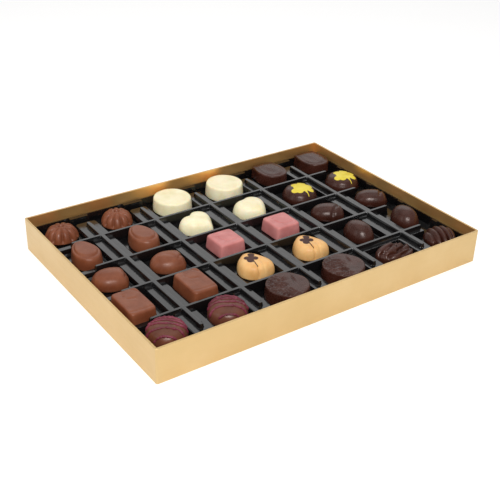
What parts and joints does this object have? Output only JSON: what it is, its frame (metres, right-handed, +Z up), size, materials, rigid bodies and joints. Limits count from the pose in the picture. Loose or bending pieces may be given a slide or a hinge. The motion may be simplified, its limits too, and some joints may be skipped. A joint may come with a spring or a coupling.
{
  "type": "box of chocolate pralines",
  "caption": "Open shallow gold card box with a black formed tray of pockets, each holding a moulded chocolate praline.",
  "frame": {"origin": "the middle of the box's underside, on the surface it stands on", "axes": "+X along the long side, +Y from the front long wall to the back one, +Z up out of the open box"},
  "size_m": [0.3, 0.2136, 0.0284],
  "materials": {
    "gold_card": "satin gold paper",
    "black_tray": "glossy formed sheet",
    "milk_chocolate": "satin",
    "dark_chocolate": "satin",
    "white_chocolate": "satin",
    "ruby_chocolate": "satin",
    "caramel_chocolate": "satin"
  },
  "bodies": {
    "root": {"box": "gold_card", "tray": "black_tray", "milk_fluted_1": "milk_chocolate", "milk_fluted_2": "milk_chocolate", "white_oval_1": "white_chocolate", "white_oval_2": "white_chocolate", "dark_leaf_1": "dark_chocolate", "dark_leaf_2": "dark_chocolate", "milk_egg_1": "milk_chocolate", "milk_egg_2": "milk_chocolate", "white_heart_1": "white_chocolate", "white_heart_2": "white_chocolate", "dark_round_1": "dark_chocolate", "dark_round_2": "dark_chocolate", "milk_shell_1": "milk_chocolate", "milk_shell_2": "milk_chocolate", "ruby_block_1": "ruby_chocolate", "ruby_block_2": "ruby_chocolate", "dark_bean_1": "dark_chocolate", "dark_bean_2": "dark_chocolate", "milk_block_1": "milk_chocolate", "milk_block_2": "milk_chocolate", "caramel_heart_1": "caramel_chocolate", "caramel_heart_2": "caramel_chocolate", "dark_egg_1": "dark_chocolate", "dark_egg_2": "dark_chocolate", "milk_drizzled_1": "milk_chocolate", "milk_drizzled_2": "milk_chocolate", "dark_disc_1": "dark_chocolate", "dark_disc_2": "dark_chocolate", "dark_swirl": "dark_chocolate", "dark_ribbed": "dark_chocolate"}
  },
  "joints": []
}
